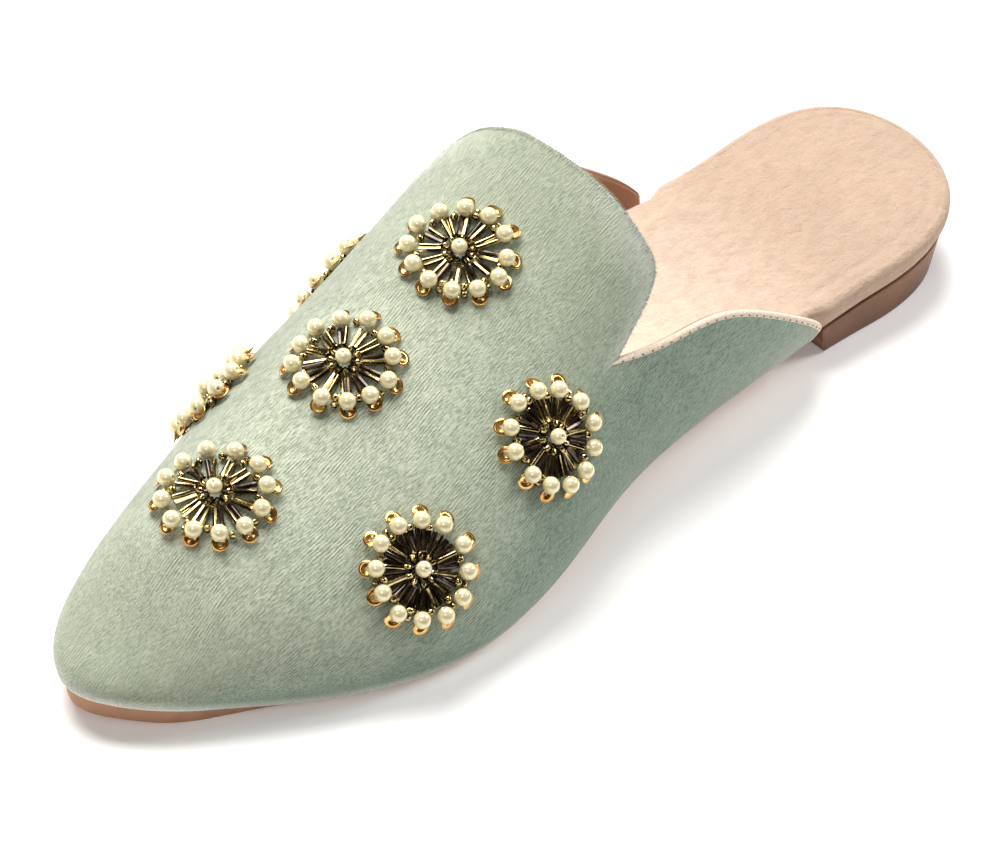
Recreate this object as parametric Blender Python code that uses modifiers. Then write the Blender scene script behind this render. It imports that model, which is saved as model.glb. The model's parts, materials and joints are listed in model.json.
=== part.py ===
"""Embroidered velvet mule, right foot: a backless slipper with bead medallions on its upper.

Lengths are in millimetres and become metres as each mesh is made. +Z is up, the toe points
to -Y and +X is the inner side of the foot. "Along" is the distance from the tip of the toe.
"""

from collections import namedtuple
from math import pi

import bmesh
import bpy
import numpy as np
from mathutils import Matrix, Vector
from mathutils.bvhtree import BVHTree

MM = 0.001
CENTRE_X = -0.8  # middle of the shoe's box, measured from the line through toe and heel
CENTRE_ALONG = 124.8

# The last: the feather line is where the upper meets the sole. inner and outer are its reach to
# each side, feather its height, ridge the height of the upper's crest, and lean how far the
# crest lies to the inner side of the shoe's middle line (below 0, to the outer side). The three
# rounds are the exponents of the section (2 is an ellipse, more is fuller).
Station = namedtuple(
    "Station", "along inner outer feather ridge lean inner_round outer_round crown_round"
)
LAST = [
    Station(0.0, 13.6, 11.0, 7.4, 13.6, 0.0, 2.20, 2.20, 2.20),
    Station(12.5, 17.6, 13.6, 6.0, 17.0, -2.4, 2.00, 2.20, 2.10),
    Station(25.0, 22.6, 16.8, 3.6, 27.5, -4.5, 1.85, 2.20, 2.05),
    Station(50.0, 35.3, 25.6, 2.4, 37.0, -7.7, 1.60, 2.15, 1.90),
    Station(75.0, 41.4, 32.8, 2.7, 45.1, -9.7, 1.60, 2.05, 1.95),
    Station(100.0, 38.7, 35.5, 4.1, 53.2, -10.9, 1.70, 2.00, 2.25),
    Station(125.0, 31.4, 38.0, 6.1, 62.0, -11.0, 2.00, 2.15, 2.45),
    Station(150.0, 27.1, 36.6, 7.2, 73.2, -9.6, 2.40, 2.45, 2.45),
    Station(175.0, 25.4, 29.0, 7.8, 80.7, -6.0, 2.45, 2.45, 2.50),
    Station(200.0, 24.9, 24.6, 9.5, 85.1, -1.1, 2.25, 2.20, 2.70),
    Station(225.0, 26.2, 25.2, 11.3, 89.6, 3.7, 2.25, 2.20, 2.70),
    Station(250.0, 29.9, 31.7, 12.6, 97.1, 7.3, 2.25, 2.20, 2.70),
]
LENGTH = 250.0
TOE_ROUND = 19.7  # how far back the plan's rounding of the toe reaches
HEEL_ROUND = 35.4
TOE_RISE = 15.4  # how far back the toe takes to reach its full height
BULGE = 3.4  # how far the upper swells past the feather line
TUCK_HEIGHT = 13.5  # height in which it swells
WALL = 1.8  # velvet, backing and lining together
GAP = 0.3  # between pieces that touch

# The top edge. "turn" runs round the foot, 0 on the ridge and 1 at the feather line. The tongue's
# edge is given by how far back it reaches at each turn, the wings' edge by the turn at each place.
Tongue = namedtuple("Tongue", "turn inner_along outer_along")
TONGUE = [
    Tongue(0.00, 136.3, 136.3),
    Tongue(0.15, 137.7, 134.7),
    Tongue(0.30, 139.1, 133.2),
    Tongue(0.45, 140.0, 128.8),
    Tongue(0.545, 135.9, 125.0),
    Tongue(0.605, 123.1, 123.1),
]
Wing = namedtuple("Wing", "along turn")
WING = [
    Wing(123.1, 0.605),
    Wing(137.0, 0.69),
    Wing(154.5, 0.757),
    Wing(172.0, 0.863),
    Wing(185.0, 0.947),
    Wing(191.2, 0.985),
]
NOTCH = WING[0]
WING_END = WING[-1].along

# The bottom: how far each edge lies outside the feather line, and how thick the layers are.
Bottom = namedtuple(
    "Bottom", "along insole_under insole_upper insole_thick sole_top sole_under sole_thick"
)
BOTTOM = [
    Bottom(0.0, -4.0, -3.6, 2.0, -1.5, -2.2, 5.3),
    Bottom(12.5, -3.2, -2.6, 2.2, -0.8, -1.3, 5.4),
    Bottom(25.0, -2.8, -2.2, 2.6, -0.7, -1.3, 3.8),
    Bottom(50.0, -2.5, -1.8, 3.6, -0.8, -2.8, 3.4),
    Bottom(75.0, -2.5, -1.8, 4.6, -1.0, -3.6, 3.4),
    Bottom(110.0, -2.5, -2.0, 5.4, -1.0, -3.6, 3.4),
    Bottom(150.0, -2.4, -1.4, 6.1, -1.0, -3.4, 3.4),
    Bottom(WING_END + 0.4, -2.4, -1.3, 6.3, -1.0, -3.2, 3.4),
    Bottom(WING_END + 4.0, -0.6, 0.4, 6.3, -1.0, -3.0, 3.4),
    Bottom(LENGTH, -0.6, 0.4, 6.3, -1.0, -3.0, 3.4),
]
SOLE_BEVEL_RISE = 0.35  # the corner of its bevelled edge, in shares of its height and width
SOLE_BEVEL_RUN = 0.55
HEEL_TOP_GROW = -0.4
HEEL_UNDER_GROW = -1.2
HEEL_CHAMFER = 0.5
BREAST_TOP = 195.4  # where the heel block's front face starts, above and below
BREAST_UNDER = 199.0
# The insole's rolled edge: how far in it has turned at each share of the height.
Roll = namedtuple("Roll", "share turned_in")
ROLL = [Roll(0.0, 0.4), Roll(0.15, 0.0), Roll(0.45, 0.0), Roll(0.72, 0.1), Roll(0.9, 0.7), Roll(1.0, 2.1)]

# Medallions: where each sits on the upper, the turn being positive on the inner side.
Seat = namedtuple("Seat", "name along turn")
SEATS = [
    Seat("medallion_centre_front", 39.5, 0.01),
    Seat("medallion_centre_middle", 76.9, 0.015),
    Seat("medallion_centre_back", 109.6, 0.075),
    Seat("medallion_inner_front", 63.8, 0.593),
    Seat("medallion_inner_back", 102.2, 0.585),
    Seat("medallion_outer_front", 67.0, -0.61),
    Seat("medallion_outer_back", 110.5, -0.81),
]
PEARL_COUNT = 12
PEARL_RADIUS = 1.8
PEARL_RING = 9.8
PEARL_HEIGHT = 2.0  # of its middle above the underside of the bed
BED_RADIUS = 10.4  # the round of bugle beads, and the lobes that carry the sequins
LOBE_RADIUS = 13.0
LOBE_SHARE = 0.4  # of the ring, at a lobe's tip
BED_THICK = 1.1
SEAT_LIFT = 0.7  # of the bed's corners, so that its flat faces clear the curve of the upper
DROP_FROM = 20.0  # height above its seat from which a medallion is laid over the upper

TURN_STEPS = 16  # rows of faces from the ridge down to the notch and on to the feather line
ALONG_STEPS = 20
TOE_FINER = 1.6  # above 1, faces are shorter towards the toe
WING_STEPS = 8

COLOURS = {  # base colour, roughness
    "velvet": ((0.42, 0.46, 0.35), 0.9),
    "suede": ((0.85, 0.66, 0.50), 0.9),
    "sole": ((0.25, 0.13, 0.09), 0.5),
    "pearls": ((0.85, 0.80, 0.68), 0.25),
}


def clear_scene():
    for thing in list(bpy.data.objects):
        bpy.data.objects.remove(thing, do_unlink=True)


def make_material(name):
    colour, roughness = COLOURS[name]
    material = bpy.data.materials.new(name)
    material.use_nodes = True
    shader = material.node_tree.nodes["Principled BSDF"]
    shader.inputs["Base Color"].default_value = (*colour, 1.0)
    shader.inputs["Roughness"].default_value = roughness
    material.diffuse_color = (*colour, 1.0)
    return material


# --- the last ---


def spline(knots, values):
    """A natural cubic spline through the knots, as a function."""
    knots, values = np.array(knots, float), np.array(values, float)
    gap = np.diff(knots)
    slope = np.diff(values) / gap
    system, load = np.eye(len(knots)), np.zeros(len(knots))
    for i in range(1, len(knots) - 1):
        system[i, i - 1 : i + 2] = gap[i - 1], 2 * (gap[i - 1] + gap[i]), gap[i]
        load[i] = 6 * (slope[i] - slope[i - 1])
    bend = np.linalg.solve(system, load)

    def curve(at):
        i = np.clip(np.searchsorted(knots, at, side="right") - 1, 0, len(gap) - 1)
        ahead = (at - knots[i]) / gap[i]
        behind = 1 - ahead
        sag = (behind**3 - behind) * bend[i] + (ahead**3 - ahead) * bend[i + 1]
        return behind * values[i] + ahead * values[i + 1] + sag * gap[i] ** 2 / 6

    return curve


def last_curve(column):
    return spline([row.along for row in LAST], [getattr(row, column) for row in LAST])


inner_reach = last_curve("inner")
outer_reach = last_curve("outer")
feather_height = last_curve("feather")
ridge_height = last_curve("ridge")
lean = last_curve("lean")
inner_round = last_curve("inner_round")
outer_round = last_curve("outer_round")
crown_round = last_curve("crown_round")


def quarter_round(share):
    """Height of a quarter circle at a share of its width, 1 beyond it."""
    return np.sqrt(1 - (1 - np.clip(share, 0, 1)) ** 2)


def outline(along, side, grow):
    """How far across the feather line lies, grown by so much, on the inner (1) or outer (-1) side."""
    reach = (along + grow) * LENGTH / (LENGTH + 2 * grow)
    half = (inner_reach(reach) + outer_reach(reach)) / 2 + grow
    half = half * quarter_round(reach / TOE_ROUND) * quarter_round((LENGTH - reach) / HEEL_ROUND)
    return middle_line(along) + side * half


def middle_line(along):
    on_last = np.clip(along, 0, LENGTH)
    return (inner_reach(on_last) - outer_reach(on_last)) / 2


def outward(along, side, grow):
    """The outline's normal in plan, as its x and along parts."""
    before = np.clip(along - 0.5, -grow, LENGTH + grow)
    after = np.clip(along + 0.5, -grow, LENGTH + grow)
    across, run = outline(after, side, grow) - outline(before, side, grow), after - before
    size = np.hypot(across, run)
    return side * run / size, -side * across / size


def upper_point(along, turn):
    """The upper's outer surface: turn is 0 on the ridge, 1 on the inner feather line, -1 outer."""
    along, turn = np.broadcast_arrays(np.asarray(along, float), np.asarray(turn, float))
    side = np.where(turn < 0, -1.0, 1.0)
    angle = np.abs(turn) * pi / 2
    on_last = np.clip(along, 0, LENGTH)
    base = feather_height(on_last)
    rise = (ridge_height(along) - base) * quarter_round((along + BULGE) / TOE_RISE)
    ridge_x = middle_line(along) + lean(on_last)
    width = outline(along, side, BULGE) - ridge_x
    side_round = np.where(turn < 0, outer_round(on_last), inner_round(on_last))
    across = width * np.sin(angle) ** (2 / side_round)
    up = rise * np.clip(np.cos(angle), 0, 1) ** (2 / crown_round(on_last))
    tuck = BULGE * (1 - np.clip(up / TUCK_HEIGHT, 0, 1)) ** 2
    normal_x, normal_along = outward(along, side, BULGE)
    # the two sides meet in the middle at the tip of the toe, and don't cross
    pulled = np.clip(normal_x * tuck, -np.abs(across), np.abs(across))
    return np.stack([ridge_x + across - pulled, along - normal_along * tuck, base + up], -1)


def to_row(points):
    """Shoe coordinates (x, along, z) in millimetres to the row's frame in metres."""
    return (np.asarray(points, float) - (CENTRE_X, CENTRE_ALONG, 0.0)) * MM


# --- meshes ---


def add_object(name, mesh, material, collection):
    thing = bpy.data.objects.new(name, mesh)
    collection.objects.link(thing)
    mesh.materials.clear()
    mesh.materials.append(material)
    return thing


def face_outwards(bm):
    """Makes the faces point away from the middle of the shape, whether it is closed or open."""
    bmesh.ops.recalc_face_normals(bm, faces=bm.faces)
    middle = sum((vert.co for vert in bm.verts), Vector()) / len(bm.verts)
    away = sum(
        face.calc_area() * face.normal.dot(face.calc_center_median() - middle) for face in bm.faces
    )
    if away < 0:
        bmesh.ops.reverse_faces(bm, faces=bm.faces)


def mesh_from(name, points, faces):
    """A mesh in metres from points in shoe coordinates, with doubled points merged."""
    mesh = bpy.data.meshes.new(name)
    mesh.from_pydata([tuple(p) for p in to_row(points)], [], faces)
    bm = bmesh.new()
    bm.from_mesh(mesh)
    bmesh.ops.remove_doubles(bm, verts=bm.verts, dist=0.01 * MM)
    face_outwards(bm)
    bm.to_mesh(mesh)
    bm.free()
    mesh.shade_smooth()
    mesh.set_sharp_from_angle(angle=pi / 4)
    return mesh


# --- upper ---


def upper_surface():
    """Points and faces of the upper's outer surface, open along the feather line and top edge."""
    inner_edge = spline([row.turn for row in TONGUE], [row.inner_along for row in TONGUE])
    outer_edge = spline([row.turn for row in TONGUE], [row.outer_along for row in TONGUE])
    wing_edge = spline([row.along for row in WING], [row.turn for row in WING])
    down = int(round(TURN_STEPS * NOTCH.turn))
    turns = np.concatenate(
        [np.linspace(0, NOTCH.turn, down + 1), np.linspace(NOTCH.turn, 1, TURN_STEPS - down + 1)[1:]]
    )
    forward = np.linspace(0, 1, ALONG_STEPS + 1) ** TOE_FINER
    rows = []
    for turn in np.concatenate([-turns[:0:-1], turns]):
        size = abs(turn)
        edge = inner_edge(size) if turn > 0 else outer_edge(size)
        back = edge if size < NOTCH.turn else NOTCH.along
        rows.append(upper_point(-BULGE + (back + BULGE) * forward, turn))
    points = [p for row in rows for p in row]
    width = ALONG_STEPS + 1
    faces = grid_faces(len(rows), width, 0)

    wing_along = np.linspace(NOTCH.along, WING_END, WING_STEPS + 1)
    share = (turns[down:] - NOTCH.turn) / (1 - NOTCH.turn)
    for side in (-1, 1):
        start = len(points)
        for part in share:
            edge = wing_edge(wing_along)
            points.extend(upper_point(wing_along, side * (edge + (1 - edge) * part)))
        wing_faces = grid_faces(len(share), WING_STEPS + 1, start)
        faces.extend(wing_faces)
    return np.array(points), faces


def grid_faces(rows, columns, start):
    faces = []
    for i in range(rows - 1):
        for j in range(columns - 1):
            corner = start + i * columns + j
            faces.append((corner, corner + columns, corner + columns + 1, corner + 1))
    return faces


def make_upper(material, collection):
    points, faces = upper_surface()
    mesh = mesh_from("upper", points, faces)
    upper = add_object("upper", mesh, material, collection)
    wall = upper.modifiers.new("wall", "SOLIDIFY")
    wall.thickness = WALL * MM
    wall.offset = -1.0
    wall.use_rim = True
    return upper


# --- bottom ---

# One line of a layer's edge: how far outside the feather line and how high, by distance along, and
# where it starts and ends (None at the toe and the heel).
Edge = namedtuple("Edge", "grow height start end")


def bottom_curve(column):
    knots = [row.along for row in BOTTOM]
    values = [getattr(row, column) for row in BOTTOM]
    return lambda along: np.interp(along, knots, values)


def make_layer(name, edges, shares, material, collection):
    """A layer lofted through cross sections, each a loop up the inner side and down the outer."""
    sides = {1: [], -1: []}
    for edge in edges:
        first = 0.0 if edge.start is None else edge.start
        last = LENGTH if edge.end is None else edge.end
        grow = edge.grow(first + (last - first) * shares)
        start = -grow[0] if edge.start is None else edge.start
        end = LENGTH + grow[-1] if edge.end is None else edge.end
        along = start + (end - start) * shares
        for side, lines in sides.items():
            x = outline(along, side, grow)
            lines.append(np.stack([x, along, edge.height(along)], -1))
    loops = np.stack(sides[1] + sides[-1][::-1], 1)
    count, around = loops.shape[:2]
    faces = []
    for i in range(count - 1):
        for j in range(around):
            k = (j + 1) % around
            faces.append((i * around + j, i * around + k, (i + 1) * around + k, (i + 1) * around + j))
    for i, edge_end in ((0, edges[0].start), (count - 1, edges[0].end)):
        if edge_end is not None:
            faces.append(tuple(range(i * around, (i + 1) * around)))
    return add_object(name, mesh_from(name, loops.reshape(-1, 3), faces), material, collection)


def round_ended(count):
    """Shares from 0 to 1, closer together at both ends."""
    return (1 - np.cos(np.linspace(0, pi, count))) / 2


def make_insole(material, collection):
    under, upper = bottom_curve("insole_under"), bottom_curve("insole_upper")
    thick = bottom_curve("insole_thick")

    def rolled(roll):
        def grow(along):
            slope = under(along) + (upper(along) - under(along)) * min(1.0, 2 * roll.share)
            return slope - roll.turned_in * thick(along) / thick(LENGTH)

        def height(along):
            return feather_height(np.clip(along, 0, LENGTH)) + roll.share * thick(along)

        return Edge(grow, height, None, None)

    edges = [rolled(roll) for roll in ROLL]
    at_wing = np.array([WING_END + 0.4, WING_END + 4.0]) / LENGTH
    shares = np.sort(np.concatenate([round_ended(30), at_wing]))
    return make_layer("insole", edges, shares, material, collection)


def make_outsole(material, collection):
    top_grow, under_grow = bottom_curve("sole_top"), bottom_curve("sole_under")
    thick = bottom_curve("sole_thick")

    def top(along):
        return feather_height(np.clip(along, 0, LENGTH)) - GAP

    def under(along):
        return np.maximum(0.0, top(along) + GAP - thick(along))

    def bevel(along):
        return under(along) + SOLE_BEVEL_RISE * (top(along) - under(along))

    def bevel_grow(along):
        return under_grow(along) + SOLE_BEVEL_RUN * (top_grow(along) - under_grow(along))

    end = BREAST_TOP - GAP
    edges = [
        Edge(under_grow, under, None, end),
        Edge(bevel_grow, bevel, None, end),
        Edge(top_grow, top, None, end),
    ]
    shares = np.sin(np.linspace(0, pi / 2, 29))
    shares = 1 - shares[::-1]
    return make_layer("outsole", edges, shares, material, collection)


def make_heel(material, collection):
    def top(along):
        return feather_height(np.clip(along, 0, LENGTH)) - GAP

    def level(height):
        return lambda along: np.full_like(along, height)

    def steady(grow):
        return lambda along: np.full_like(along, grow, dtype=float)

    edges = [
        Edge(steady(HEEL_UNDER_GROW - HEEL_CHAMFER), level(0.0), BREAST_UNDER + HEEL_CHAMFER, None),
        Edge(steady(HEEL_UNDER_GROW), level(HEEL_CHAMFER), BREAST_UNDER, None),
        Edge(steady(HEEL_TOP_GROW), top, BREAST_TOP, None),
    ]
    shares = np.sin(np.linspace(0, pi / 2, 17))
    return make_layer("heel", edges, shares, material, collection)


# --- medallions ---


class SeatFrame:
    """A medallion's own frame on the upper: local x runs towards the heel and z out of the surface."""

    def __init__(self, seat, surface):
        here = upper_point(seat.along, seat.turn)
        back = upper_point(seat.along + 1, seat.turn) - upper_point(seat.along - 1, seat.turn)
        inward = upper_point(seat.along, seat.turn + 0.02) - upper_point(seat.along, seat.turn - 0.02)
        x_axis = Vector(back).normalized()
        z_axis = Vector(inward).cross(x_axis).normalized()
        y_axis = z_axis.cross(x_axis)
        self.matrix = Matrix((x_axis, y_axis, z_axis)).transposed().to_4x4()
        self.matrix.translation = Vector(to_row(here))
        self.surface = surface

    def drape(self, point):
        """A point of the flat medallion laid over the upper."""
        start = self.matrix @ Vector((point.x, point.y, DROP_FROM * MM))
        down = -self.matrix.to_3x3().col[2]
        place, normal, _, _ = self.surface.ray_cast(start, down)
        return self.matrix.inverted() @ (place + normal * (SEAT_LIFT * MM + point.z))


def object_from(bm, name, collection):
    mesh = bpy.data.meshes.new(name)
    face_outwards(bm)
    bm.to_mesh(mesh)
    bm.free()
    thing = bpy.data.objects.new(name, mesh)
    collection.objects.link(thing)
    return thing


def add_bed(bm):
    """The round of bugle beads as a disc, with a lobe under each pearl for its sequin."""
    lobe = 2 * pi / PEARL_COUNT
    edge = []
    for i in range(PEARL_COUNT):
        edge.append((lobe * (i - 0.5), BED_RADIUS))
        edge.append((lobe * (i - LOBE_SHARE / 2), LOBE_RADIUS))
        edge.append((lobe * (i + LOBE_SHARE / 2), LOBE_RADIUS))
    inside = [(turn, BED_RADIUS / 2) for turn, _ in edge]
    layers = []
    for height in (0.0, BED_THICK):
        rings = []
        for ring in (inside, edge):
            points = [Vector((size * np.cos(turn), size * np.sin(turn), height)) for turn, size in ring]
            rings.append([bm.verts.new(point * MM) for point in points])
        middle = bm.verts.new((0, 0, height * MM))
        for j, vert in enumerate(rings[0]):
            after = (j + 1) % len(edge)
            bm.faces.new((middle, vert, rings[0][after]))
            bm.faces.new((vert, rings[1][j], rings[1][after], rings[0][after]))
        layers.append(rings[1])
    for j, vert in enumerate(layers[0]):
        after = (j + 1) % len(edge)
        bm.faces.new((vert, layers[0][after], layers[1][after], layers[1][j]))


def add_pearl(bm, distance, angle, sides, rings):
    place = Matrix.Rotation(angle, 4, "Z") @ Matrix.Translation(Vector((distance, 0, PEARL_HEIGHT)) * MM)
    bmesh.ops.create_uvsphere(
        bm, u_segments=sides, v_segments=rings, radius=PEARL_RADIUS * MM, matrix=place
    )


def make_flat_medallion(collection):
    """Bed and pearls joined as one flat solid, which each seat then takes a copy of."""
    bed, pearls = bmesh.new(), bmesh.new()
    add_bed(bed)
    add_pearl(pearls, 0, 0, 8, 5)
    for i in range(PEARL_COUNT):
        add_pearl(pearls, PEARL_RING, 2 * pi * i / PEARL_COUNT, 6, 4)
    medallion = object_from(bed, "medallion", collection)
    sewn_on = object_from(pearls, "medallion_pearls", collection)
    join = medallion.modifiers.new("pearls", "BOOLEAN")
    join.operation = "UNION"
    join.use_self = True
    join.object = sewn_on
    evaluated = medallion.evaluated_get(bpy.context.evaluated_depsgraph_get())
    flat = bmesh.new()
    flat.from_mesh(evaluated.to_mesh())
    bmesh.ops.remove_doubles(flat, verts=flat.verts, dist=0.02 * MM)
    bmesh.ops.triangulate(flat, faces=flat.faces)
    bpy.data.objects.remove(medallion, do_unlink=True)
    bpy.data.objects.remove(sewn_on, do_unlink=True)
    return flat


def make_medallion(seat, flat, surface, material, collection):
    """The flat medallion laid over the upper, with its origin and axes at its seat."""
    frame = SeatFrame(seat, surface)
    bm = flat.copy()
    for vert in bm.verts:
        vert.co = frame.drape(vert.co)
    medallion = object_from(bm, seat.name, collection)
    medallion.data.materials.append(material)
    medallion.data.shade_smooth()
    medallion.data.set_sharp_from_angle(angle=pi / 4)
    medallion.matrix_world = frame.matrix
    return medallion


def main():
    clear_scene()
    parts = bpy.data.collections.new("velvet_mule")
    bpy.context.scene.collection.children.link(parts)
    velvet, suede = make_material("velvet"), make_material("suede")
    sole, pearls = make_material("sole"), make_material("pearls")
    upper = make_upper(velvet, parts)
    make_insole(suede, parts)
    make_outsole(sole, parts)
    make_heel(sole, parts)
    surface = BVHTree.FromPolygons(
        [tuple(vert.co) for vert in upper.data.vertices],
        [tuple(face.vertices) for face in upper.data.polygons],
    )
    flat = make_flat_medallion(parts)
    for seat in SEATS:
        make_medallion(seat, flat, surface, pearls, parts)
    flat.free()


main()
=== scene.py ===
"""Looks of the embroidered velvet mule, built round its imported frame.

Lengths are in millimetres and become metres as each mesh is made. +Z is up, the toe points
to -Y and +X is the inner side of the foot. "Along" is the distance from the tip of the toe.
The last's sizes are those of the part's source, so every fine surface lies on its solid.
"""

import json
from collections import namedtuple
from math import cos, pi, radians, sin

import bmesh
import bpy
import numpy as np
from mathutils import Matrix, Vector
from mathutils.bvhtree import BVHTree

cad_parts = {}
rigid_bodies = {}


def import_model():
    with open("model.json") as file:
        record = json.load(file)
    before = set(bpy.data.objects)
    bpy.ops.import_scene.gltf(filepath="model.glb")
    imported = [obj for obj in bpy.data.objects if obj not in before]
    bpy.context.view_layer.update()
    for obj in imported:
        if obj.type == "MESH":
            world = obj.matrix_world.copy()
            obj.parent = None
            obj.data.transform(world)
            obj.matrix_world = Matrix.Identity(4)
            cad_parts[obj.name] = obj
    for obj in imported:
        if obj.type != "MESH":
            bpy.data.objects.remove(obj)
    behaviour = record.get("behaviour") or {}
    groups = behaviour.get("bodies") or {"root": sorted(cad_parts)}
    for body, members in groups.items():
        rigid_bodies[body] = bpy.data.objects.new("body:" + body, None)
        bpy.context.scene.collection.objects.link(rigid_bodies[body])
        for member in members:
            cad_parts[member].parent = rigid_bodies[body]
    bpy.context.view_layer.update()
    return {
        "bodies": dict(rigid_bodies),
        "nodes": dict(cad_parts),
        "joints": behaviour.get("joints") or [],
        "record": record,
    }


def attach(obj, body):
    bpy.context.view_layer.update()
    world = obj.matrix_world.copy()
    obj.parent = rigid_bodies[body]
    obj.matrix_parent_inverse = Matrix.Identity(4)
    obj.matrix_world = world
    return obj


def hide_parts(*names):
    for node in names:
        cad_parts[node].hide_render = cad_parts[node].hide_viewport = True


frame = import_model()
BODY = "root"
SEED = 7
FRINGE_SEED = 107

MM = 0.001


def table(columns, *rows):
    """Rows of values whose columns have names."""
    row = namedtuple("Row", columns)
    return [row(*values) for values in rows]


CENTRE_X = -0.8  # middle of the shoe's box, measured from the line through toe and heel
CENTRE_ALONG = 124.8

# The last: the feather line is where the upper meets the sole. inner and outer are its reach to
# each side, feather its height, ridge the height of the upper's crest, and lean how far the
# crest lies to the inner side of the shoe's middle line (below 0, to the outer side). The three
# rounds are the exponents of the section (2 is an ellipse, more is fuller).
LAST = table(
    "along inner outer feather ridge lean inner_round outer_round crown_round",
    (0.0, 13.6, 11.0, 7.4, 13.6, 0.0, 2.20, 2.20, 2.20),
    (12.5, 17.6, 13.6, 6.0, 17.0, -2.4, 2.00, 2.20, 2.10),
    (25.0, 22.6, 16.8, 3.6, 27.5, -4.5, 1.85, 2.20, 2.05),
    (50.0, 35.3, 25.6, 2.4, 37.0, -7.7, 1.60, 2.15, 1.90),
    (75.0, 41.4, 32.8, 2.7, 45.1, -9.7, 1.60, 2.05, 1.95),
    (100.0, 38.7, 35.5, 4.1, 53.2, -10.9, 1.70, 2.00, 2.25),
    (125.0, 31.4, 38.0, 6.1, 62.0, -11.0, 2.00, 2.15, 2.45),
    (150.0, 27.1, 36.6, 7.2, 73.2, -9.6, 2.40, 2.45, 2.45),
    (175.0, 25.4, 29.0, 7.8, 80.7, -6.0, 2.45, 2.45, 2.50),
    (200.0, 24.9, 24.6, 9.5, 85.1, -1.1, 2.25, 2.20, 2.70),
    (225.0, 26.2, 25.2, 11.3, 89.6, 3.7, 2.25, 2.20, 2.70),
    (250.0, 29.9, 31.7, 12.6, 97.1, 7.3, 2.25, 2.20, 2.70),
)
LENGTH = 250.0
TOE_ROUND = 19.7  # how far back the plan's rounding of the toe reaches
HEEL_ROUND = 35.4
TOE_RISE = 15.4  # how far back the toe takes to reach its full height
BULGE = 3.4  # how far the upper swells past the feather line
TUCK_HEIGHT = 13.5  # height in which it swells
WALL = 1.8  # velvet, backing and lining together
WELD = 0.004  # points closer than this are merged
GAP = 0.3  # between pieces that touch

# The top edge. "turn" runs round the foot, 0 on the ridge and 1 at the feather line. The tongue's
# edge is given by how far back it reaches at each turn, the wings' by the turn at each place.
TONGUE = table(
    "turn inner_along outer_along",
    (0.00, 136.3, 136.3),
    (0.15, 137.7, 134.7),
    (0.30, 139.1, 133.2),
    (0.45, 140.0, 128.8),
    (0.545, 135.9, 125.0),
    (0.605, 123.1, 123.1),
)
WING = table(
    "along turn",
    (123.1, 0.605),
    (137.0, 0.69),
    (154.5, 0.757),
    (172.0, 0.863),
    (185.0, 0.947),
    (191.2, 0.985),
)
NOTCH = WING[0]
WING_END = WING[-1].along

# The bottom: how far each edge lies outside the feather line, and how thick the layers are.
BOTTOM = table(
    "along insole_under insole_upper insole_thick sole_top sole_under sole_thick",
    (0.0, -4.0, -3.6, 2.0, -1.5, -2.2, 5.3),
    (12.5, -3.2, -2.6, 2.2, -0.8, -1.3, 5.4),
    (25.0, -2.8, -2.2, 2.6, -0.7, -1.3, 3.8),
    (50.0, -2.5, -1.8, 3.6, -0.8, -2.8, 3.4),
    (75.0, -2.5, -1.8, 4.6, -1.0, -3.6, 3.4),
    (110.0, -2.5, -2.0, 5.4, -1.0, -3.6, 3.4),
    (150.0, -2.4, -1.4, 6.1, -1.0, -3.4, 3.4),
    (WING_END + 0.4, -2.4, -1.3, 6.3, -1.0, -3.2, 3.4),
    (WING_END + 4.0, -0.6, 0.4, 6.3, -1.0, -3.0, 3.4),
    (LENGTH, -0.6, 0.4, 6.3, -1.0, -3.0, 3.4),
)
SOLE_BEVEL_RISE = 0.35  # the corner of its bevelled edge, in shares of its height and width
SOLE_BEVEL_RUN = 0.55
HEEL_TOP_GROW = -0.4
HEEL_UNDER_GROW = -1.2
HEEL_CHAMFER = 0.5
BREAST_TOP = 195.4  # where the heel block's front face starts, above and below
BREAST_UNDER = 199.0
# The insole's rolled edge: how far in it has turned at each share of the height.
ROLL = table(
    "share turned_in",
    (0.0, 0.4),
    (0.15, 0.0),
    (0.45, 0.0),
    (0.72, 0.1),
    (0.9, 0.7),
    (1.0, 2.1),
)

# Medallions: where each sits on the upper, the turn being positive on the inner side.
SEATS = table(
    "name along turn",
    ("medallion_centre_front", 39.5, 0.01),
    ("medallion_centre_middle", 76.9, 0.015),
    ("medallion_centre_back", 109.6, 0.075),
    ("medallion_inner_front", 63.8, 0.593),
    ("medallion_inner_back", 102.2, 0.585),
    ("medallion_outer_front", 67.0, -0.61),
    ("medallion_outer_back", 110.5, -0.81),
)


# --- the last ---

PLAN_STEP = 0.5  # half the span over which the outline's direction is measured


def spline(knots, values):
    """A natural cubic spline through the knots, as a function."""
    knots, values = np.array(knots, float), np.array(values, float)
    gap = np.diff(knots)
    slope = np.diff(values) / gap
    system, load = np.eye(len(knots)), np.zeros(len(knots))
    for i in range(1, len(knots) - 1):
        system[i, i - 1 : i + 2] = gap[i - 1], 2 * (gap[i - 1] + gap[i]), gap[i]
        load[i] = 6 * (slope[i] - slope[i - 1])
    bend = np.linalg.solve(system, load)

    def curve(at):
        i = np.clip(np.searchsorted(knots, at, side="right") - 1, 0, len(gap) - 1)
        ahead = (at - knots[i]) / gap[i]
        behind = 1 - ahead
        sag = (behind**3 - behind) * bend[i] + (ahead**3 - ahead) * bend[i + 1]
        return behind * values[i] + ahead * values[i + 1] + sag * gap[i] ** 2 / 6

    return curve


def smooth_columns(rows):
    """A table's columns, each but the first as a smooth function of the first."""
    knots, *columns = zip(*rows)
    return type(rows[0])(knots, *[spline(knots, values) for values in columns])


SHAPE = smooth_columns(LAST)


def feather_level(along):
    """Height of the feather line, level beyond both ends of the last."""
    return SHAPE.feather(np.clip(along, 0, LENGTH))


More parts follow.
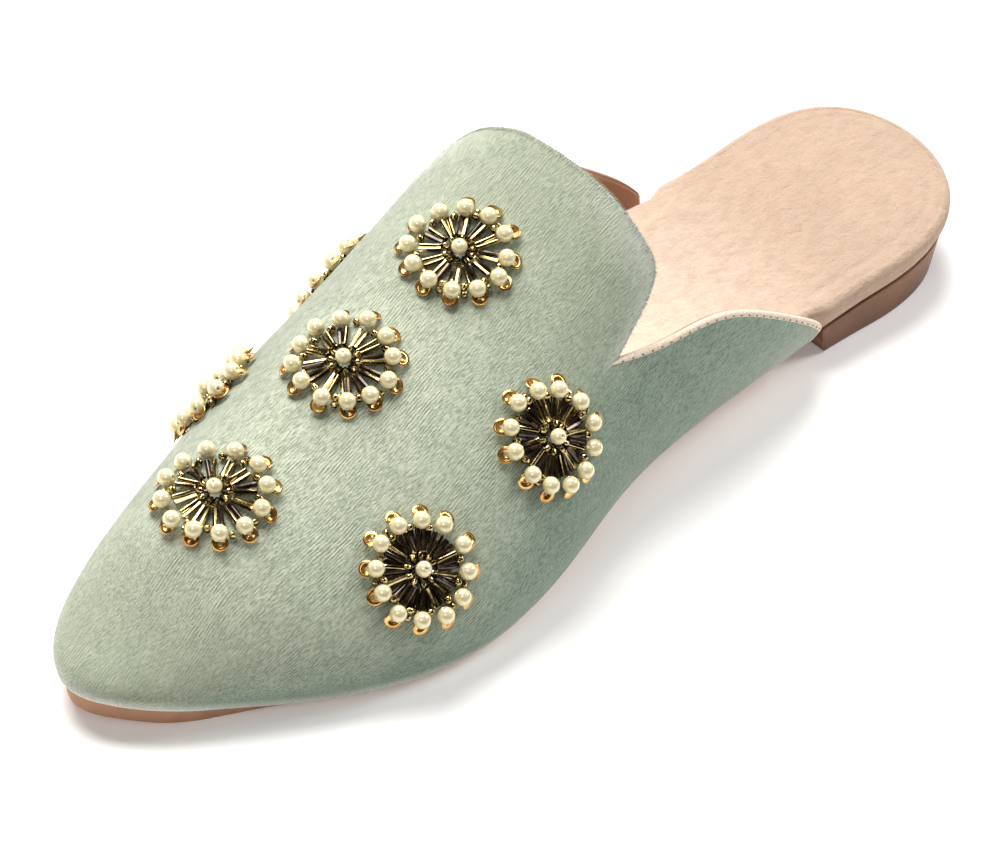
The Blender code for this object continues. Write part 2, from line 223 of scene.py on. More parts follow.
def quarter_round(share):
    """Height of a quarter circle at a share of its width, 1 beyond it."""
    return np.sqrt(1 - (1 - np.clip(share, 0, 1)) ** 2)


def outline(along, side, grow):
    """How far across the feather line lies on a side (1 inner, -1 outer), grown by so much."""
    reach = (along + grow) * LENGTH / (LENGTH + 2 * grow)
    half = (SHAPE.inner(reach) + SHAPE.outer(reach)) / 2 + grow
    half = half * quarter_round(reach / TOE_ROUND) * quarter_round((LENGTH - reach) / HEEL_ROUND)
    return middle_line(along) + side * half


def middle_line(along):
    """How far across the middle between the two feather lines lies."""
    on_last = np.clip(along, 0, LENGTH)
    return (SHAPE.inner(on_last) - SHAPE.outer(on_last)) / 2


def outward(along, side, grow):
    """The outline's normal in plan, as its x and along parts."""
    before = np.clip(along - PLAN_STEP, -grow, LENGTH + grow)
    after = np.clip(along + PLAN_STEP, -grow, LENGTH + grow)
    across, run = outline(after, side, grow) - outline(before, side, grow), after - before
    size = np.hypot(across, run)
    return side * run / size, -side * across / size


def upper_point(along, turn):
    """The upper's outer face: turn is 0 on the ridge, 1 on the inner feather line, -1 outer."""
    along, turn = np.broadcast_arrays(np.asarray(along, float), np.asarray(turn, float))
    side = np.where(turn < 0, -1.0, 1.0)
    angle = np.abs(turn) * pi / 2
    on_last = np.clip(along, 0, LENGTH)
    base = SHAPE.feather(on_last)
    rise = (SHAPE.ridge(along) - base) * quarter_round((along + BULGE) / TOE_RISE)
    ridge_x = middle_line(along) + SHAPE.lean(on_last)
    width = outline(along, side, BULGE) - ridge_x
    side_round = np.where(turn < 0, SHAPE.outer_round(on_last), SHAPE.inner_round(on_last))
    across = width * np.sin(angle) ** (2 / side_round)
    up = rise * np.clip(np.cos(angle), 0, 1) ** (2 / SHAPE.crown_round(on_last))
    tuck = BULGE * (1 - np.clip(up / TUCK_HEIGHT, 0, 1)) ** 2
    normal_x, normal_along = outward(along, side, BULGE)
    # the two sides meet in the middle at the tip of the toe, and don't cross
    pulled = np.clip(normal_x * tuck, -np.abs(across), np.abs(across))
    return np.stack([ridge_x + across - pulled, along - normal_along * tuck, base + up], -1)


def to_row(points):
    """Shoe coordinates (x, along, z) in millimetres to the row's frame in metres."""
    return (np.asarray(points, float) - (CENTRE_X, CENTRE_ALONG, 0.0)) * MM


# --- meshes ---


def link(thing):
    bpy.context.scene.collection.objects.link(thing)


def make_object(name, parts, materials, kinds=None):
    """A smooth piece from (points, faces) parts in metres. It rides on the shoe's one body."""
    points, faces = gather(parts)
    mesh = bpy.data.meshes.new(name)
    mesh.from_pydata(points.tolist(), [], faces)
    mesh.validate()
    for material in materials:
        mesh.materials.append(MATERIALS[material])
    if kinds is not None:
        mesh.polygons.foreach_set("material_index", np.asarray(kinds, np.int32))
    mesh.shade_smooth()
    mesh.update()
    piece = bpy.data.objects.new(name, mesh)
    link(piece)
    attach(piece, BODY)
    return piece


def make_shell(name, parts, materials, kinds=None):
    """A piece from parts in shoe coordinates."""
    parts = [(to_row(points), faces) for points, faces in parts]
    return make_object(name, parts, materials, kinds)


def shoe_points(piece):
    """A piece's points in shoe coordinates."""
    points = np.array([vert.co for vert in piece.data.vertices])
    return points / MM + (CENTRE_X, CENTRE_ALONG, 0.0)


def set_value(piece, name, values):
    """Stores one number a point, for the materials to read."""
    attribute = piece.data.attributes.new(name, "FLOAT", "POINT")
    attribute.data.foreach_set("value", np.asarray(values, np.float32).ravel())


def grid_faces(rows, columns, closed=False):
    """Quads of a grid of points, row after row; closed joins the last column to the first."""
    faces = []
    for i in range(rows - 1):
        for j in range(columns if closed else columns - 1):
            k = (j + 1) % columns
            low, high = i * columns, (i + 1) * columns
            faces.append((low + j, high + j, high + k, low + k))
    return faces


def strip(lines):
    """Points and faces of a band through equally long lines of points."""
    return np.concatenate(lines), grid_faces(len(lines), len(lines[0]))


def gather(parts):
    """Joins (points, faces) parts into one set."""
    points, faces, start = [], [], 0
    for part_points, part_faces in parts:
        points.append(part_points)
        faces.extend([tuple(index + start for index in face) for face in part_faces])
        start += len(part_points)
    return np.concatenate(points), faces


def even_turns(sides):
    return np.linspace(0, 2 * pi, sides, endpoint=False)


def ring_round(rings):
    """Points and faces of rings of points, each joined to the next and the last to the first."""
    sides = len(rings[0])
    last = (len(rings) - 1) * sides
    faces = grid_faces(len(rings), sides, closed=True)
    faces += [(last + j, j, (j + 1) % sides, last + (j + 1) % sides) for j in range(sides)]
    return np.concatenate(rings), faces


def lathe(profile, turns):
    """A closed (x, radius) profile carried round the local x axis."""
    across, up = np.cos(turns), np.sin(turns)
    rings = [np.stack([np.full_like(up, x), r * across, r * up], -1) for x, r in profile]
    return ring_round(rings)


def turn_outwards(piece, merged=None):
    """Turns every face of a closed piece outwards, after merging points that nearly coincide."""
    bm = bmesh.new()
    bm.from_mesh(piece.data)
    if merged is not None:
        bmesh.ops.remove_doubles(bm, verts=bm.verts, dist=merged * MM)
    bmesh.ops.recalc_face_normals(bm, faces=bm.faces)
    bm.to_mesh(piece.data)
    bm.free()


def face_away(piece, centre, inwards=False):
    """Turns all faces of an open shell away from a point in shoe coordinates, or towards it."""
    centre = Vector(to_row(centre))
    outwards = sum(
        face.area * face.normal.dot(face.center - centre) for face in piece.data.polygons
    )
    if (outwards < 0) != inwards:
        piece.data.flip_normals()


# --- materials ---

MATERIALS = {}  # by the names used here, as Blender may add a number to its own


class Nodes:
    """Short names for building the node tree of a material or a world."""

    def __init__(self, owner, shader="Principled BSDF"):
        owner.use_nodes = True
        self.tree = owner.node_tree
        self.shader = self.tree.nodes[shader]

    def add(self, kind, inputs=None, **settings):
        node = self.tree.nodes.new("ShaderNode" + kind)
        for key, value in settings.items():
            setattr(node, key, value)
        for key, value in (inputs or {}).items():
            self.put(node, key, value)
        return node

    def put(self, node, key, value):
        socket = node.inputs[key]
        if isinstance(value, bpy.types.NodeSocket):
            self.tree.links.new(value, socket)
        else:
            socket.default_value = (*value, 1.0) if socket.type == "RGBA" else value

    def set(self, **values):
        for key, value in values.items():
            self.put(self.shader, key.replace("_", " "), value)

    def math(self, operation, a, b=0.0):
        return self.add("Math", {0: a, 1: b}, operation=operation).outputs[0]

    def times(self, a, b):
        return self.math("MULTIPLY", a, b)

    def plus(self, a, b):
        return self.math("ADD", a, b)

    def dot(self, a, b):
        return self.add("VectorMath", {0: a, 1: b}, operation="DOT_PRODUCT").outputs["Value"]

    def scaled(self, vector, scale):
        return self.add("VectorMath", {0: vector, 1: scale}, operation="MULTIPLY").outputs[0]

    def axis(self, vector, index):
        return self.add("SeparateXYZ", {0: vector}).outputs[index]

    def mix(self, factor, a, b):
        return self.add("Mix", {0: factor, 6: a, 7: b}, data_type="RGBA").outputs[2]

    def range(self, value, low, high, to_low=0.0, to_high=1.0, **settings):
        inputs = {0: value, 1: low, 2: high, 3: to_low, 4: to_high}
        return self.add("MapRange", inputs, **settings).outputs[0]

    def place(self, output="Object"):
        return self.add("TexCoord").outputs[output]

    def attribute(self, name):
        return self.add("Attribute", attribute_name=name).outputs["Fac"]

    def noise(self, vector, scale, detail=2.0, roughness=0.5, distortion=0.0):
        values = {"Vector": vector, "Scale": scale, "Detail": detail, "Roughness": roughness}
        values["Distortion"] = distortion
        return self.add("TexNoise", values).outputs[0]

    def bump(self, height, distance, strength=1.0):
        values = {"Height": height, "Distance": distance * MM, "Strength": strength}
        self.put(self.shader, "Normal", self.add("Bump", values).outputs[0])


def new_material(name):
    MATERIALS[name] = bpy.data.materials.new(name)
    return Nodes(MATERIALS[name])


NAP = Vector((0.0, 0.93, 0.37))  # the pile leans this way, towards the heel
NAP_DEEP = NAP.cross((1.0, 0.0, 0.0))
# Scales of the velvet's noises, in features a metre across, along and into its pile.
STREAKS = (3000.0, 700.0, 3000.0)
FINE_PILE = (9000.0, 3000.0, 9000.0)
RIB_WANDER = (170.0, 60.0, 170.0)
RIB_BREAKS = (1300.0, 420.0, 1300.0)
MOTTLE = (330.0, 170.0, 330.0)
NAP_DRIFT = 0.0012  # how far the streaks wander from their line, in metres
RIB_STEP = 0.62  # the pile stands in fine ribs along the shoe, so far apart in millimetres
RIB_LOOSE = 14.0  # how far the ribs wander, as an angle in radians
PAINTED_SHADE = 0.55  # painted shade: how much darker the toe and the tongue are made
PAINTED_SHADE_TOE = (-0.116, -0.096)  # from where to where that fades, along Y in metres
PAINTED_SHADE_TONGUE = (-0.045, -0.005)
PAINTED_LIGHT_FACING = Vector((0.25, -0.75, 0.62))  # painted light: velvet facing this way is painted palest, and darker as it turns away


def make_velvet_material():
    """Short pile in fine ribs, a soft sheen and a rubbed paler tongue edge, with painted light
    and shade: paler facing one way, darker on the inner side, toe and tongue, and paler low down.
    """
    n = new_material("velvet")
    here = n.place()
    drift = n.add("TexNoise", {"Vector": here, "Scale": 60.0, "Detail": 1.0}).outputs[1]
    moved = {0: drift, 1: (NAP_DRIFT,) * 3, 2: here}
    bent = n.add("VectorMath", moved, operation="MULTIPLY_ADD").outputs[0]
    turned = {0: n.axis(bent, 0), 1: n.dot(bent, NAP), 2: n.dot(bent, NAP_DEEP)}
    combed = n.add("CombineXYZ", turned).outputs[0]
    streaks = n.noise(n.scaled(combed, STREAKS), 1.0, 2.0, 0.55, 0.1)
    fine = n.noise(n.scaled(combed, FINE_PILE), 1.0, 2.0, 0.6)
    wander = n.times(n.noise(n.scaled(combed, RIB_WANDER), 1.0), RIB_LOOSE)
    phase = n.plus(n.times(n.attribute("round"), 2 * pi / RIB_STEP), wander)
    strength = n.range(n.noise(here, 75.0), 0.38, 0.64, 0.04, 0.20)
    broken = n.noise(n.scaled(combed, RIB_BREAKS), 1.0, 1.0)
    strength = n.times(strength, n.range(broken, 0.35, 0.65, 0.1, 1.3))
    ribs = n.times(n.math("SINE", phase), strength)
    pile = n.plus(n.times(streaks, 0.66), n.times(fine, 0.34))
    pile = n.plus(pile, n.times(ribs, 0.60))
    mottle = n.math("SUBTRACT", n.noise(n.scaled(combed, MOTTLE), 1.0, 3.0, 0.6), 0.5)
    tips = n.range(n.plus(pile, n.times(mottle, 0.22)), 0.36, 0.62)

    face = n.add("NewGeometry").outputs["True Normal"]
    # painted light and shade: the velvet is paler on faces turned one way and darker on faces
    # turned away
    painted_light = n.range(n.dot(face, PAINTED_LIGHT_FACING), 0.42, 0.93)
    # painted shade: the inner side, away from the lamps, is darker and greener
    inner = n.range(n.axis(face, 0), -0.1, 0.75)
    roots_painted_shade = n.mix(inner, (0.165, 0.20, 0.15), (0.09, 0.155, 0.113))
    roots = n.mix(painted_light, roots_painted_shade, (0.29, 0.335, 0.24))
    tips_painted_shade = n.mix(inner, (0.45, 0.49, 0.39), (0.30, 0.39, 0.305))
    body = n.mix(tips, roots, n.mix(painted_light, tips_painted_shade, (0.655, 0.69, 0.545)))
    cloud = n.range(n.noise(here, 26.0), 0.35, 0.7, 0.0, 0.14)
    body = n.mix(cloud, body, (0.48, 0.53, 0.42))

    along = n.axis(here, 1)
    # painted shade: the toe and the tongue are darkened, most where they face the painted light
    toe = n.range(along, *PAINTED_SHADE_TOE, PAINTED_SHADE, 0.0)
    tongue = n.range(along, *PAINTED_SHADE_TONGUE, 0.0, PAINTED_SHADE)
    painted_shade = n.times(n.math("MAXIMUM", toe, tongue), painted_light)
    body = n.mix(painted_shade, body, (0.25, 0.29, 0.21))
    # paler edges: the rubbed tongue edge, and low down partly bent pile and partly painted bounce
    # light from the floor
    edge = n.math("MAXIMUM", n.attribute("edge"), n.attribute("worn"))
    edge = n.times(edge, n.range(pile, 0.3, 0.6, 0.55, 1.0))
    n.set(Base_Color=n.mix(edge, body, (0.80, 0.81, 0.74)), Roughness=0.95)
    n.set(Sheen_Weight=0.45, Sheen_Roughness=0.40, Sheen_Tint=(1.0, 0.98, 0.88))
    n.set(Specular_IOR_Level=0.15)
    n.bump(pile, 0.40)


def make_lining_material():
    """Tan lining, with painted shade: darker and redder low down, deep in the shoe where it meets
    the insole.
    """
    n = new_material("lining")
    here = n.place()
    grain, blotch = n.noise(here, 1400.0), n.noise(here, 60.0)
    # painted shade: the lining darkens low down inside the shoe
    height = n.range(n.axis(here, 2), 0.020, 0.031)
    body = n.mix(height, (0.38, 0.165, 0.09), (0.82, 0.56, 0.30))
    body = n.mix(n.range(blotch, 0.3, 0.7, 0, 0.3), body, (0.60, 0.36, 0.22))
    body = n.mix(n.range(grain, 0.4, 0.7, 0, 0.3), body, (0.40, 0.23, 0.15))
    n.set(Base_Color=body, Roughness=0.8, Sheen_Weight=0.1)
    n.bump(grain, 0.05, 0.5)


def make_suede_material():
    """Brushed imitation suede, beige towards the heel, with painted shade darkening its rolled
    side to brown.
    """
    n = new_material("suede")
    here, heelwards = n.place(), n.attribute("heelwards")
    grain = n.noise(here, 1700.0, 3.0, 0.65)
    scuff = n.noise(n.scaled(here, (1.0, 0.6, 1.0)), 430.0, 4.0, 0.7, 0.15)
    cloud = n.noise(here, 45.0, 3.0, 0.6)
    cream, beige = (0.90, 0.79, 0.665), (0.44, 0.325, 0.245)
    body = n.mix(n.range(heelwards, 0.50, 0.82), cream, beige)
    body = n.mix(n.range(cloud, 0.35, 0.7, 0, 0.28), body, (0.60, 0.43, 0.32))
    trodden = n.range(heelwards, 0.55, 0.75, 0.2, 1.0)
    marks = n.times(n.range(scuff, 0.40, 0.66, 0, 0.34), trodden)
    body = n.mix(marks, body, (0.30, 0.20, 0.145))
    body = n.mix(n.range(grain, 0.35, 0.65, 0.30, 0.0), body, (0.50, 0.35, 0.26))
    # painted shade: the rolled side wall darkens to brown, speckled by the grain
    side = n.times(n.attribute("rolled"), n.range(grain, 0.45, 0.62, 0.45, 1.0))
    n.set(Base_Color=n.mix(side, body, (0.46, 0.31, 0.22)), Roughness=0.92)
    n.set(Sheen_Weight=0.2, Sheen_Roughness=0.5, Sheen_Tint=(1.0, 0.9, 0.8))
    n.set(Specular_IOR_Level=0.2)
    n.bump(n.plus(n.times(grain, 0.25), n.times(scuff, 0.75)), 0.80)


def make_leather(name, dark, light, roughness):
    """Smooth brown leather or rubber with a fine grain."""
    n = new_material(name)
    here = n.place()
    grain = n.add("TexVoronoi", {"Vector": here, "Scale": 1500.0}).outputs[0]
    cloud = n.noise(here, 70.0, 3.0, 0.6)
    body = n.mix(n.range(cloud, 0.3, 0.7), dark, light)
    n.set(Base_Color=body, Specular_IOR_Level=0.35)
    n.set(Roughness=n.range(cloud, 0.3, 0.7, roughness - 0.06, roughness + 0.08))
    n.bump(grain, 0.04, 0.35)


def clouded(name, scale, low, dark, light, detail=2.0):
    """The start of a material: its nodes, a cloud, and a colour that follows the cloud."""
    n = new_material(name)
    cloud = n.noise(n.place(), scale, detail)
    n.set(Base_Color=n.mix(n.range(cloud, low, 1 - low), dark, light))
    return n, cloud


def make_pearl():
    """Cream imitation pearl: a milky body under a clear glossy coat."""
    n, cloud = clouded("pearl", 900.0, 0.3, (0.90, 0.84, 0.66), (0.97, 0.93, 0.79))
    n.set(Metallic=0.18, Roughness=0.22)
    n.set(Coat_Weight=0.9, Coat_Roughness=0.05, Coat_Tint=(0.94, 0.88, 0.66))
    n.bump(cloud, 0.01, 0.3)


def make_glass(name, scale, dark, light, metallic, coat, low, high):
    """Metallic glass, in places smoother and in places rougher."""
    n, cloud = clouded(name, scale, 0.35, dark, light)
    n.set(Metallic=metallic, Coat_Weight=coat, Coat_Roughness=0.04)
    n.set(Roughness=n.range(cloud, 0.3, 0.7, low, high))


def make_foil():
    """Orange gold foil in clear plastic, clouded from dark to light."""
    n, _ = clouded("amber", 350.0, 0.3, (0.50, 0.21, 0.04), (0.84, 0.55, 0.17), 1.0)
    n.set(Metallic=0.85, Roughness=0.22, Coat_Weight=0.4, Coat_Roughness=0.05)


def make_thread(name, tone):
    """Closely woven or twisted thread of one colour, darker between its strands."""
    n, ply = clouded(name, 2400.0, 0.35, [0.72 * part for part in tone], tone)
    n.set(Roughness=0.85, Sheen_Weight=0.2, Sheen_Roughness=0.5, Specular_IOR_Level=0.2)
    n.bump(ply, 0.05, 0.7)


def make_materials():
    """Every material of the shoe; the pieces ask for them by name."""
    make_velvet_material()
    make_lining_material()
    make_suede_material()
    make_thread("binding", (0.80, 0.66, 0.52))
    make_thread("piping", (0.40, 0.19, 0.13))
    make_thread("thread", (0.20, 0.11, 0.08))
    make_leather("outsole", (0.38, 0.19, 0.10), (0.56, 0.30, 0.175), 0.55)
    make_leather("heel", (0.15, 0.066, 0.030), (0.235, 0.105, 0.050), 0.5)
    make_pearl()
    make_glass("bronze", 450.0, (0.30, 0.21, 0.09), (0.62, 0.50, 0.23), 1.0, 0.35, 0.08, 0.18)
    dark, light = (0.020, 0.012, 0.008), (0.085, 0.050, 0.028)
    make_glass("dark_glass", 600.0, dark, light, 0.6, 0.5, 0.10, 0.22)
    make_foil()


# --- upper ---

ROWS_TO_NOTCH = 56  # rows from the ridge down to the notch, and on to the feather line
ROWS_BELOW = 30
COLUMNS = 150
WING_COLUMNS = 60
TOE_FINER = 1.5  # above 1, the columns lie closer together towards the toe
RIM_STEPS = 10
VELVET_OVER = radians(100)  # how far round the top edge the velvet goes; the lining has the rest
TURN_UNDER = 5.0  # how far the velvet is folded in under the insole, and how far down
FOLD_DOWN = 0.45
FOLD_STEPS = 5
WORN, WORN_WIDE = 0.5, 8.0  # the tongue's edge is rubbed paler, so much and so far in
WORN_FROM, WORN_FULL = 0.12, 0.42  # the turns at which that starts and is full
EDGE_PALE = 3.2  # width of the paler edge along the sole, partly bent pile and partly painted bounce light from the floor
# The wings are a little paler low down, painted bounce light from the floor: how much, up to what
# height, and from where to where.
WING_PALE, WING_PALE_HIGH, WING_PALE_START, WING_PALE_END = 0.35, 16.0, 140.0, 180.0
NORMAL_STEP, NORMAL_TURN = 0.3, 0.006  # steps along and round over which a normal is measured

# Soft dents and swells in the velvet: place, length and width of each, and its depth (a swell is
# negative).
DENTS = table(
    "along turn long wide deep",
    (14.0, 0.55, 9.0, 0.20, 0.25),
    (30.0, -0.30, 14.0, 0.22, -0.20),
    (60.0, 0.86, 8.0, 0.08, 0.35),
    (78.0, 0.90, 7.0, 0.07, -0.25),
    (92.0, 0.84, 10.0, 0.10, 0.30),
    (118.0, 0.48, 8.0, 0.16, 0.30),
    (138.0, 0.86, 10.0, 0.09, 0.30),
    (163.0, 0.92, 9.0, 0.06, 0.25),
    (88.0, -0.84, 12.0, 0.10, 0.30),
    (140.0, -0.88, 12.0, 0.08, 0.30),
)
PUCKER = 0.22  # how far the sewn threads pull the velvet in under a medallion
PUCKER_WIDTH = 9.0
FIBRES = 3200
FIBRE_SHORT, FIBRE_LONG, FIBRE_THICK = 0.25, 0.75, 0.05
FIBRE_PALE = 0.35
# The edge band on the wings: lines down the outside, by their distance from the edge and their
# height over the velvet. Its width varies: how much, at shares of the way from the notch to the
# wing's end. The fine line of piping lies inside it, and each stitch is a thin (x, radius) rod.
BINDING = table("down rise", (0.26, -0.06), (0.22, 0.05), (0.15, 0.10), (0.05, 0.12))
BAND_WIDTHS = [(0, 0.2), (0.12, 1), (0.85, 1), (1, 1.7)]
BAND_OVER, PIPING_OVER = radians(95), radians(128)  # how far round the edge the two go
PIPING_PROUD = 0.05
STITCH_STEP = 2.75
STITCH_UP = 0.15
STITCH = [(-0.30, 0.02), (-0.22, 0.15), (0.22, 0.15), (0.30, 0.02)]
LINING_START = 12.0  # where the lining's rounded toe end starts, and how far it reaches
TOE_CAP = 6.0
TOE_CAP_STEPS = 7
INSIDE = (0.0, 70.0, 22.0)  # a point in the space for the foot


def surface_normal(along, turn):
    """Outward unit normal of the upper's outer surface."""
    along, turn = np.broadcast_arrays(np.asarray(along, float), np.asarray(turn, float))
    start = np.maximum(along, 0.2 - BULGE)
    behind = upper_point(start + NORMAL_STEP, turn)
    ahead = behind - upper_point(np.maximum(start - NORMAL_STEP, -BULGE), turn)
    high, low = np.clip(turn + NORMAL_TURN, -1, 1), np.clip(turn - NORMAL_TURN, -1, 1)
    aside = upper_point(start, high) - upper_point(start, low)
    normal = np.cross(aside, ahead)
    size = np.linalg.norm(normal, axis=-1, keepdims=True)
    return normal / np.maximum(size, 1e-9)


def relief(points, along, turn):
    """How far the velvet lies below its smooth form: dents, swells and the pull of the beads."""
    low = np.zeros(along.shape)
    for dent in DENTS:
        away = ((along - dent.along) / dent.long) ** 2 + ((turn - dent.turn) / dent.wide) ** 2
        low = low + dent.deep * np.exp(-away)
    for seat in SEATS:
        away = np.linalg.norm(points - upper_point(seat.along, seat.turn), axis=-1)
        low = low + PUCKER * np.exp(-((away / PUCKER_WIDTH) ** 2))
    return low


class UpperGrid:
    """Places on the upper as grids, each an (along, turn) pair, and the paths round its edges."""

    def __init__(self):
        tongue, wing = smooth_columns(TONGUE), smooth_columns(WING)
        above = np.linspace(0, NOTCH.turn, ROWS_TO_NOTCH)
        below = np.linspace(NOTCH.turn, 1, ROWS_BELOW)
        turns = np.concatenate([above, below[1:]])
        turns = np.concatenate([-turns[:0:-1], turns])
        away = np.abs(turns)
        edge = np.where(turns > 0, tongue.inner_along(away), tongue.outer_along(away))
        edge = np.where(away < NOTCH.turn - 1e-9, edge, NOTCH.along)
        forward = np.linspace(0, 1, COLUMNS) ** TOE_FINER
        along = -BULGE + (edge[:, None] + BULGE) * forward
        self.body = np.stack(np.broadcast_arrays(along, turns[:, None]))
        wing_along = np.linspace(NOTCH.along, WING_END, WING_COLUMNS)
        share = (below - NOTCH.turn) / (1 - NOTCH.turn)
        cut = wing.turn(wing_along)
        turn = cut + (1 - cut) * share[:, None]
        self.wing = np.stack(np.broadcast_arrays(wing_along, turn))
        self.grids = [self.body, self.wing, self.wing * [[[1]], [[-1]]]]

    def top_path(self):
        """(along, turn) from the outer wing's foot round the opening to the inner wing's foot."""
        tongue = self.body[:, ROWS_BELOW - 1 : 1 - ROWS_BELOW, -1].T
        inner = np.concatenate([self.wing[:, 0, 1:], self.wing[:, 1:, -1]], 1).T
        return np.concatenate([inner[::-1] * (1, -1), tongue, inner])

    def feather_path(self):
        """(along, turn) of the lower edge, from the outer wing round the toe to the inner."""
        inner = np.concatenate([self.body[:, -1], self.wing[:, -1, 1:]], 1).T
        return np.concatenate([inner[::-1] * (1, -1), inner[1:]])


UPPER = UpperGrid()


def velvet_point(along, turn, sunk=0.0):
    """A point of the velvet's face, with its dents, sunk so far into the wall."""
    points = upper_point(along, turn)
    normal = surface_normal(along, turn)
    return points - normal * (relief(points, along, turn) + sunk)[..., None], normal


def path_frame(path):
    """Point, outward normal, run and the direction off the cut edge, all along the top edge."""
    along, turn = path[:, 0], path[:, 1]
    points, normals = velvet_point(along, turn)
    run = np.gradient(points, axis=0)
    run /= np.linalg.norm(run, axis=1, keepdims=True)
    off = np.cross(normals, run)
    off /= np.linalg.norm(off, axis=1, keepdims=True)
    return points, normals, run, off


def rim_lines(path, radius, low, high, steps, grow=0.0):
    """Lines round the rounded top edge, from angle low (outside) to high (inside)."""
    points, normals, _, off = path_frame(path)
    lines = []
    for angle in np.linspace(low, high, steps):
        size = radius + grow
        lines.append(points - normals * radius + (off * sin(angle) + normals * cos(angle)) * size)
    return lines


GIRTH_ALONG = np.linspace(-BULGE, LENGTH, 80)
GIRTH_TURN = np.linspace(0, 1, 120)


def way_round(along, turn):
    """How far round from the ridge a place on the upper lies, in millimetres."""
    row = np.clip((along + BULGE) / (LENGTH + BULGE), 0, 1) * (len(GIRTH_ALONG) - 1)
    column = np.abs(turn) * (len(GIRTH_TURN) - 1)
    i = np.clip(row.astype(int), 0, len(GIRTH_ALONG) - 2)
    j = np.clip(column.astype(int), 0, len(GIRTH_TURN) - 2)
    a, b = row - i, column - j
    ways = []
    for side in (1, -1):
        section = upper_point(GIRTH_ALONG[:, None], side * GIRTH_TURN[None])
        steps = np.linalg.norm(np.diff(section, axis=1), axis=-1)
        sums = np.pad(np.cumsum(steps, axis=1), ((0, 0), (1, 0)))
        here = sums[i, j] * (1 - b) + sums[i, j + 1] * b
        ahead = sums[i + 1, j] * (1 - b) + sums[i + 1, j + 1] * b
        ways.append(here * (1 - a) + ahead * a)
    return np.where(turn >= 0, ways[0], -ways[1])


def worn_share(turn):
    """How worn the tongue's edge is at a turn: most on its sides, and not at all on the wings."""
    share = np.clip((np.abs(turn) - WORN_FROM) / (WORN_FULL - WORN_FROM), 0, 1)
    return share * (np.abs(turn) < NOTCH.turn)


def make_velvet():
    """The velvet, over the top edge and folded in under the insole."""
    parts, arcs, worn = [], [], []
    for along, turn in UPPER.grids:
        points, _ = velvet_point(along, turn)
        parts.append((points.reshape(-1, 3), grid_faces(*along.shape)))
        arcs.append(way_round(along, turn).ravel())
        near = np.clip(1 - (along[:, -1:] - along) / WORN_WIDE, 0, 1)
        worn.append((WORN * near * worn_share(turn)).ravel())
    top = UPPER.top_path()
    parts.append(strip(rim_lines(top, WALL / 2, 0.0, VELVET_OVER, RIM_STEPS)))
    arcs += [way_round(top[:, 0], top[:, 1])] * RIM_STEPS
    worn += [WORN * worn_share(top[:, 1])] * RIM_STEPS

    feather = UPPER.feather_path()
    lower, _ = velvet_point(feather[:, 0], feather[:, 1])
    normal_x, normal_along = outward(feather[:, 0], np.sign(feather[:, 1]), BULGE)
    inwards = TURN_UNDER * np.stack([-normal_x, -normal_along, np.zeros(len(feather))], -1)
    fold = []
    for angle in np.linspace(0, pi / 2, FOLD_STEPS):
        fold.append(lower + inwards * (1 - cos(angle)) - np.array([0, 0, FOLD_DOWN * sin(angle)]))
    parts.append(strip(fold))
    arcs += [way_round(feather[:, 0], feather[:, 1])] * FOLD_STEPS
    worn += [np.zeros(len(feather))] * FOLD_STEPS

    piece = make_shell("velvet_upper", parts, ["velvet"])
    set_value(piece, "round", np.concatenate(arcs))
    set_value(piece, "worn", np.concatenate(worn))
    turn_outwards(piece, WELD)
    face_away(piece, INSIDE)
    _, along, height = shoe_points(piece).T
    # painted bounce light from the floor: paler along the sole and low on the wings
    above = height - feather_level(along)
    behind = np.clip((along - WING_PALE_START) / (WING_PALE_END - WING_PALE_START), 0, 1)
    wing = WING_PALE * behind * np.clip(1 - above / WING_PALE_HIGH, 0, 1)
    set_value(piece, "edge", np.clip(1 - above / EDGE_PALE, wing, 1))
    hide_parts("upper")
    return piece


def make_fringe(rng):
    """Short stray fibres standing off the velvet's cut edge round the tongue."""
    path = UPPER.top_path()
    path = path[np.abs(path[:, 1]) <= NOTCH.turn + 0.02]
    frames = path_frame(path)
    triangle = FIBRE_THICK * np.array([(cos(a), sin(a)) for a in even_turns(3)])
    fibres = []
    for _ in range(FIBRES):
        at = rng.uniform(0, len(path) - 1)
        low = int(min(at, len(path) - 2))
        share = at - low
        place, up, along, out = (
            values[low] * (1 - share) + values[low + 1] * share for values in frames
        )
        angle = rng.uniform(-0.1, 0.55) * pi
        off = out * sin(angle) + up * cos(angle)
        base = place - up * WALL / 2 + off * (WALL / 2 - FIBRE_THICK)
        lean = off + along * rng.uniform(-0.6, 0.6)
        fibres += [base + along * a + up * b for a, b in triangle]
        fibres.append(base + lean * rng.uniform(FIBRE_SHORT, FIBRE_LONG))
    sides = [(0, 1, 3), (1, 2, 3), (2, 0, 3), (2, 1, 0)]
    faces = [[4 * i + corner for corner in side] for i in range(FIBRES) for side in sides]
    piece = make_shell("velvet_fringe", [(np.array(fibres), faces)], ["velvet"])
    set_value(piece, "edge", np.full(len(fibres), FIBRE_PALE))


